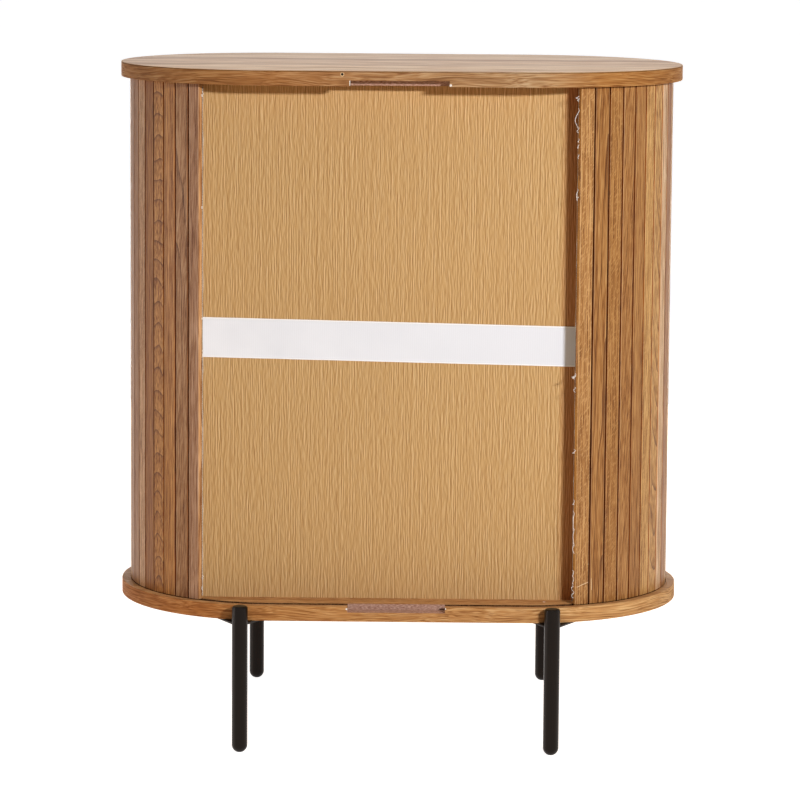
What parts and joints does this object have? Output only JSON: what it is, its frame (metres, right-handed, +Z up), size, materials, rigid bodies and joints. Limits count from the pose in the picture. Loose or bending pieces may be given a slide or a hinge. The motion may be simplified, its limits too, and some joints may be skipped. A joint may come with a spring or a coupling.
{
  "type": "tambour cabinet",
  "caption": "Oval oak cabinet on four round steel legs, with two slatted tambour doors that slide round its curved ends and an inner box with a shelf.",
  "frame": {"origin": "on the floor under the middle of the cabinet", "axes": "+Z up; -Y is the front, where the doors meet; +Y is the back, which the picture shows; +X is to the right when facing the front"},
  "size_m": [0.8, 0.4952, 0.95],
  "materials": {
    "oak_boards": "oak veneer, clear matt lacquer",
    "oak_slats": "oak slats on canvas, clear matt lacquer",
    "oak_back_panel": "straight-grained oak veneer panel, matt",
    "white_tape": "ribbed white textile tape",
    "black_steel": "satin black powder coat",
    "zinc_steel": "bright zinc plate"
  },
  "bodies": {
    "cabinet_frame": {"back_joint_tape": "white_tape", "back_left_corner_plate": "black_steel", "back_left_leg": "black_steel", "back_left_plate_screw_1": "zinc_steel", "back_left_plate_screw_2": "zinc_steel", "back_panel_lower": "oak_back_panel", "back_panel_upper": "oak_back_panel", "back_right_corner_plate": "black_steel", "back_right_leg": "black_steel", "back_right_plate_screw_1": "zinc_steel", "back_right_plate_screw_2": "zinc_steel", "bottom_board": "oak_boards", "centre_shelf": "oak_boards", "front_left_corner_plate": "black_steel", "front_left_leg": "black_steel", "front_left_plate_screw_1": "zinc_steel", "front_left_plate_screw_2": "zinc_steel", "front_right_corner_plate": "black_steel", "front_right_leg": "black_steel", "front_right_plate_screw_1": "zinc_steel", "front_right_plate_screw_2": "zinc_steel", "left_shelf_pin_back": "zinc_steel", "left_shelf_pin_front": "zinc_steel", "left_side_panel": "oak_boards", "right_shelf_pin_back": "zinc_steel", "right_shelf_pin_front": "zinc_steel", "right_side_panel": "oak_boards", "top_board": "oak_boards"},
    "right_door_pull_stile": {"right_door_pull_stile": "oak_slats"},
    "right_door_front_slat_01": {"right_door_front_slat_01": "oak_slats"},
    "right_door_front_slat_02": {"right_door_front_slat_02": "oak_slats"},
    "right_door_front_slat_03": {"right_door_front_slat_03": "oak_slats"},
    "right_door_front_slat_04": {"right_door_front_slat_04": "oak_slats"},
    "right_door_front_slat_05": {"right_door_front_slat_05": "oak_slats"},
    "right_door_front_slat_06": {"right_door_front_slat_06": "oak_slats"},
    "right_door_end_slats": {"right_door_end_slats": "oak_slats"},
    "right_door_back_slat_01": {"right_door_back_slat_01": "oak_slats"},
    "right_door_back_slat_02": {"right_door_back_slat_02": "oak_slats"},
    "right_door_back_slat_03": {"right_door_back_slat_03": "oak_slats"},
    "right_door_back_slat_04": {"right_door_back_slat_04": "oak_slats"},
    "right_door_back_slat_05": {"right_door_back_slat_05": "oak_slats"},
    "right_door_back_slat_06": {"right_door_back_slat_06": "oak_slats"},
    "right_door_back_slat_07": {"right_door_back_slat_07": "oak_slats"},
    "right_door_back_slat_08": {"right_door_back_slat_08": "oak_slats"},
    "left_door_pull_stile": {"left_door_pull_stile": "oak_slats"},
    "left_door_front_slat_01": {"left_door_front_slat_01": "oak_slats"},
    "left_door_front_slat_02": {"left_door_front_slat_02": "oak_slats"},
    "left_door_front_slat_03": {"left_door_front_slat_03": "oak_slats"},
    "left_door_front_slat_04": {"left_door_front_slat_04": "oak_slats"},
    "left_door_front_slat_05": {"left_door_front_slat_05": "oak_slats"},
    "left_door_end_slats": {"left_door_end_slats": "oak_slats"},
    "left_door_back_slat_01": {"left_door_back_slat_01": "oak_slats"},
    "left_door_back_slat_02": {"left_door_back_slat_02": "oak_slats"},
    "left_door_back_slat_03": {"left_door_back_slat_03": "oak_slats"},
    "left_door_back_slat_04": {"left_door_back_slat_04": "oak_slats"},
    "left_door_back_slat_05": {"left_door_back_slat_05": "oak_slats"},
    "left_door_back_slat_06": {"left_door_back_slat_06": "oak_slats"},
    "left_door_back_slat_07": {"left_door_back_slat_07": "oak_slats"},
    "left_door_back_slat_08": {"left_door_back_slat_08": "oak_slats"}
  },
  "joints": [
    {"name": "right_door_travel", "type": "hinge", "parent": "cabinet_frame", "child": "right_door_end_slats", "pos_m": [0.175, 0, 0.567], "axis": [0, 0, 1], "range_deg": [0, 77.24]},
    {"name": "right_door_pull_stile_turn", "type": "hinge", "parent": "cabinet_frame", "child": "right_door_pull_stile", "pos_m": [0.09123, 0.31071, 0.567], "axis": [0, 0, 1], "range_deg": [0, 30.18]},
    {"name": "right_door_front_slat_01_turn", "type": "hinge", "parent": "cabinet_frame", "child": "right_door_front_slat_01", "pos_m": [0.10743, 0.18936, 0.567], "axis": [0, 0, 1], "range_deg": [0, 39.28]},
    {"name": "right_door_front_slat_02_turn", "type": "hinge", "parent": "cabinet_frame", "child": "right_door_front_slat_02", "pos_m": [0.11893, 0.13295, 0.567], "axis": [0, 0, 1], "range_deg": [0, 45.74]},
    {"name": "right_door_front_slat_03_turn", "type": "hinge", "parent": "cabinet_frame", "child": "right_door_front_slat_03", "pos_m": [0.13043, 0.09099, 0.567], "axis": [0, 0, 1], "range_deg": [0, 52.2]},
    {"name": "right_door_front_slat_04_turn", "type": "hinge", "parent": "cabinet_frame", "child": "right_door_front_slat_04", "pos_m": [0.14192, 0.05887, 0.567], "axis": [0, 0, 1], "range_deg": [0, 58.66]},
    {"name": "right_door_front_slat_05_turn", "type": "hinge", "parent": "cabinet_frame", "child": "right_door_front_slat_05", "pos_m": [0.15343, 0.03379, 0.567], "axis": [0, 0, 1], "range_deg": [0, 65.12]},
    {"name": "right_door_front_slat_06_turn", "type": "hinge", "parent": "cabinet_frame", "child": "right_door_front_slat_06", "pos_m": [0.16492, 0.01398, 0.567], "axis": [0, 0, 1], "range_deg": [0, 71.58]},
    {"name": "right_door_back_slat_01_turn", "type": "hinge", "parent": "cabinet_frame", "child": "right_door_back_slat_01", "pos_m": [0.17252, -0.00319, 0.567], "axis": [0, 0, 1], "range_deg": [0, 75.84]},
    {"name": "right_door_back_slat_02_turn", "type": "hinge", "parent": "cabinet_frame", "child": "right_door_back_slat_02", "pos_m": [0.16102, -0.0202, 0.567], "axis": [0, 0, 1], "range_deg": [0, 69.38]},
    {"name": "right_door_back_slat_03_turn", "type": "hinge", "parent": "cabinet_frame", "child": "right_door_back_slat_03", "pos_m": [0.14952, -0.04165, 0.567], "axis": [0, 0, 1], "range_deg": [0, 62.92]},
    {"name": "right_door_back_slat_04_turn", "type": "hinge", "parent": "cabinet_frame", "child": "right_door_back_slat_04", "pos_m": [0.13802, -0.06888, 0.567], "axis": [0, 0, 1], "range_deg": [0, 56.47]},
    {"name": "right_door_back_slat_05_turn", "type": "hinge", "parent": "cabinet_frame", "child": "right_door_back_slat_05", "pos_m": [0.12652, -0.10396, 0.567], "axis": [0, 0, 1], "range_deg": [0, 50.01]},
    {"name": "right_door_back_slat_06_turn", "type": "hinge", "parent": "cabinet_frame", "child": "right_door_back_slat_06", "pos_m": [0.11502, -0.15018, 0.567], "axis": [0, 0, 1], "range_deg": [0, 43.55]},
    {"name": "right_door_back_slat_07_turn", "type": "hinge", "parent": "cabinet_frame", "child": "right_door_back_slat_07", "pos_m": [0.10352, -0.21312, 0.567], "axis": [0, 0, 1], "range_deg": [0, 37.09]},
    {"name": "right_door_back_slat_08_turn", "type": "hinge", "parent": "cabinet_frame", "child": "right_door_back_slat_08", "pos_m": [0.09313, -0.29271, 0.567], "axis": [0, 0, 1], "range_deg": [0, 31.25]},
    {"name": "left_door_travel", "type": "hinge", "parent": "cabinet_frame", "child": "left_door_end_slats", "pos_m": [-0.175, 0, 0.567], "axis": [0, 0, -1], "range_deg": [0, 68.87]},
    {"name": "left_door_pull_stile_turn", "type": "hinge", "parent": "cabinet_frame", "child": "left_door_pull_stile", "pos_m": [-0.10462, 0.26887, 0.567], "axis": [0, 0, -1], "range_deg": [0, 29.34]},
    {"name": "left_door_front_slat_01_turn", "type": "hinge", "parent": "cabinet_frame", "child": "left_door_front_slat_01", "pos_m": [-0.12083, 0.15541, 0.567], "axis": [0, 0, -1], "range_deg": [0, 38.44]},
    {"name": "left_door_front_slat_02_turn", "type": "hinge", "parent": "cabinet_frame", "child": "left_door_front_slat_02", "pos_m": [-0.13232, 0.10329, 0.567], "axis": [0, 0, -1], "range_deg": [0, 44.9]},
    {"name": "left_door_front_slat_03_turn", "type": "hinge", "parent": "cabinet_frame", "child": "left_door_front_slat_03", "pos_m": [-0.14383, 0.06484, 0.567], "axis": [0, 0, -1], "range_deg": [0, 51.36]},
    {"name": "left_door_front_slat_04_turn", "type": "hinge", "parent": "cabinet_frame", "child": "left_door_front_slat_04", "pos_m": [-0.15532, 0.03563, 0.567], "axis": [0, 0, -1], "range_deg": [0, 57.82]},
    {"name": "left_door_front_slat_05_turn", "type": "hinge", "parent": "cabinet_frame", "child": "left_door_front_slat_05", "pos_m": [-0.16683, 0.01301, 0.567], "axis": [0, 0, -1], "range_deg": [0, 64.28]},
    {"name": "left_door_back_slat_01_turn", "type": "hinge", "parent": "cabinet_frame", "child": "left_door_back_slat_01", "pos_m": [-0.17402, -0.00145, 0.567], "axis": [0, 0, -1], "range_deg": [0, 68.32]},
    {"name": "left_door_back_slat_02_turn", "type": "hinge", "parent": "cabinet_frame", "child": "left_door_back_slat_02", "pos_m": [-0.16252, -0.02083, 0.567], "axis": [0, 0, -1], "range_deg": [0, 61.86]},
    {"name": "left_door_back_slat_03_turn", "type": "hinge", "parent": "cabinet_frame", "child": "left_door_back_slat_03", "pos_m": [-0.15102, -0.04568, 0.567], "axis": [0, 0, -1], "range_deg": [0, 55.4]},
    {"name": "left_door_back_slat_04_turn", "type": "hinge", "parent": "cabinet_frame", "child": "left_door_back_slat_04", "pos_m": [-0.13952, -0.07797, 0.567], "axis": [0, 0, -1], "range_deg": [0, 48.94]},
    {"name": "left_door_back_slat_05_turn", "type": "hinge", "parent": "cabinet_frame", "child": "left_door_back_slat_05", "pos_m": [-0.12802, -0.12089, 0.567], "axis": [0, 0, -1], "range_deg": [0, 42.48]},
    {"name": "left_door_back_slat_06_turn", "type": "hinge", "parent": "cabinet_frame", "child": "left_door_back_slat_06", "pos_m": [-0.11652, -0.1799, 0.567], "axis": [0, 0, -1], "range_deg": [0, 36.02]},
    {"name": "left_door_back_slat_07_turn", "type": "hinge", "parent": "cabinet_frame", "child": "left_door_back_slat_07", "pos_m": [-0.10502, -0.26528, 0.567], "axis": [0, 0, -1], "range_deg": [0, 29.56]},
    {"name": "left_door_back_slat_08_turn", "type": "hinge", "parent": "cabinet_frame", "child": "left_door_back_slat_08", "pos_m": [-0.09388, -0.39338, 0.567], "axis": [0, 0, -1], "range_deg": [0, 23.3]}
  ],
  "couplings": [
    {"joint": "right_door_pull_stile_turn", "follows": "right_door_travel", "ratio": 0.39073},
    {"joint": "right_door_front_slat_01_turn", "follows": "right_door_travel", "ratio": 0.50855},
    {"joint": "right_door_front_slat_02_turn", "follows": "right_door_travel", "ratio": 0.59218},
    {"joint": "right_door_front_slat_03_turn", "follows": "right_door_travel", "ratio": 0.67582},
    {"joint": "right_door_front_slat_04_turn", "follows": "right_door_travel", "ratio": 0.75945},
    {"joint": "right_door_front_slat_05_turn", "follows": "right_door_travel", "ratio": 0.84309},
    {"joint": "right_door_front_slat_06_turn", "follows": "right_door_travel", "ratio": 0.92673},
    {"joint": "right_door_back_slat_01_turn", "follows": "right_door_travel", "ratio": 0.98194},
    {"joint": "right_door_back_slat_02_turn", "follows": "right_door_travel", "ratio": 0.89831},
    {"joint": "right_door_back_slat_03_turn", "follows": "right_door_travel", "ratio": 0.81467},
    {"joint": "right_door_back_slat_04_turn", "follows": "right_door_travel", "ratio": 0.73104},
    {"joint": "right_door_back_slat_05_turn", "follows": "right_door_travel", "ratio": 0.6474},
    {"joint": "right_door_back_slat_06_turn", "follows": "right_door_travel", "ratio": 0.56376},
    {"joint": "right_door_back_slat_07_turn", "follows": "right_door_travel", "ratio": 0.48013},
    {"joint": "right_door_back_slat_08_turn", "follows": "right_door_travel", "ratio": 0.40461},
    {"joint": "left_door_pull_stile_turn", "follows": "left_door_travel", "ratio": 0.42598},
    {"joint": "left_door_front_slat_01_turn", "follows": "left_door_travel", "ratio": 0.55812},
    {"joint": "left_door_front_slat_02_turn", "follows": "left_door_travel", "ratio": 0.65192},
    {"joint": "left_door_front_slat_03_turn", "follows": "left_door_travel", "ratio": 0.74572},
    {"joint": "left_door_front_slat_04_turn", "follows": "left_door_travel", "ratio": 0.83952},
    {"joint": "left_door_front_slat_05_turn", "follows": "left_door_travel", "ratio": 0.93332},
    {"joint": "left_door_back_slat_01_turn", "follows": "left_door_travel", "ratio": 0.99199},
    {"joint": "left_door_back_slat_02_turn", "follows": "left_door_travel", "ratio": 0.89819},
    {"joint": "left_door_back_slat_03_turn", "follows": "left_door_travel", "ratio": 0.80438},
    {"joint": "left_door_back_slat_04_turn", "follows": "left_door_travel", "ratio": 0.71058},
    {"joint": "left_door_back_slat_05_turn", "follows": "left_door_travel", "ratio": 0.61678},
    {"joint": "left_door_back_slat_06_turn", "follows": "left_door_travel", "ratio": 0.52298},
    {"joint": "left_door_back_slat_07_turn", "follows": "left_door_travel", "ratio": 0.42918},
    {"joint": "left_door_back_slat_08_turn", "follows": "left_door_travel", "ratio": 0.33837}
  ]
}
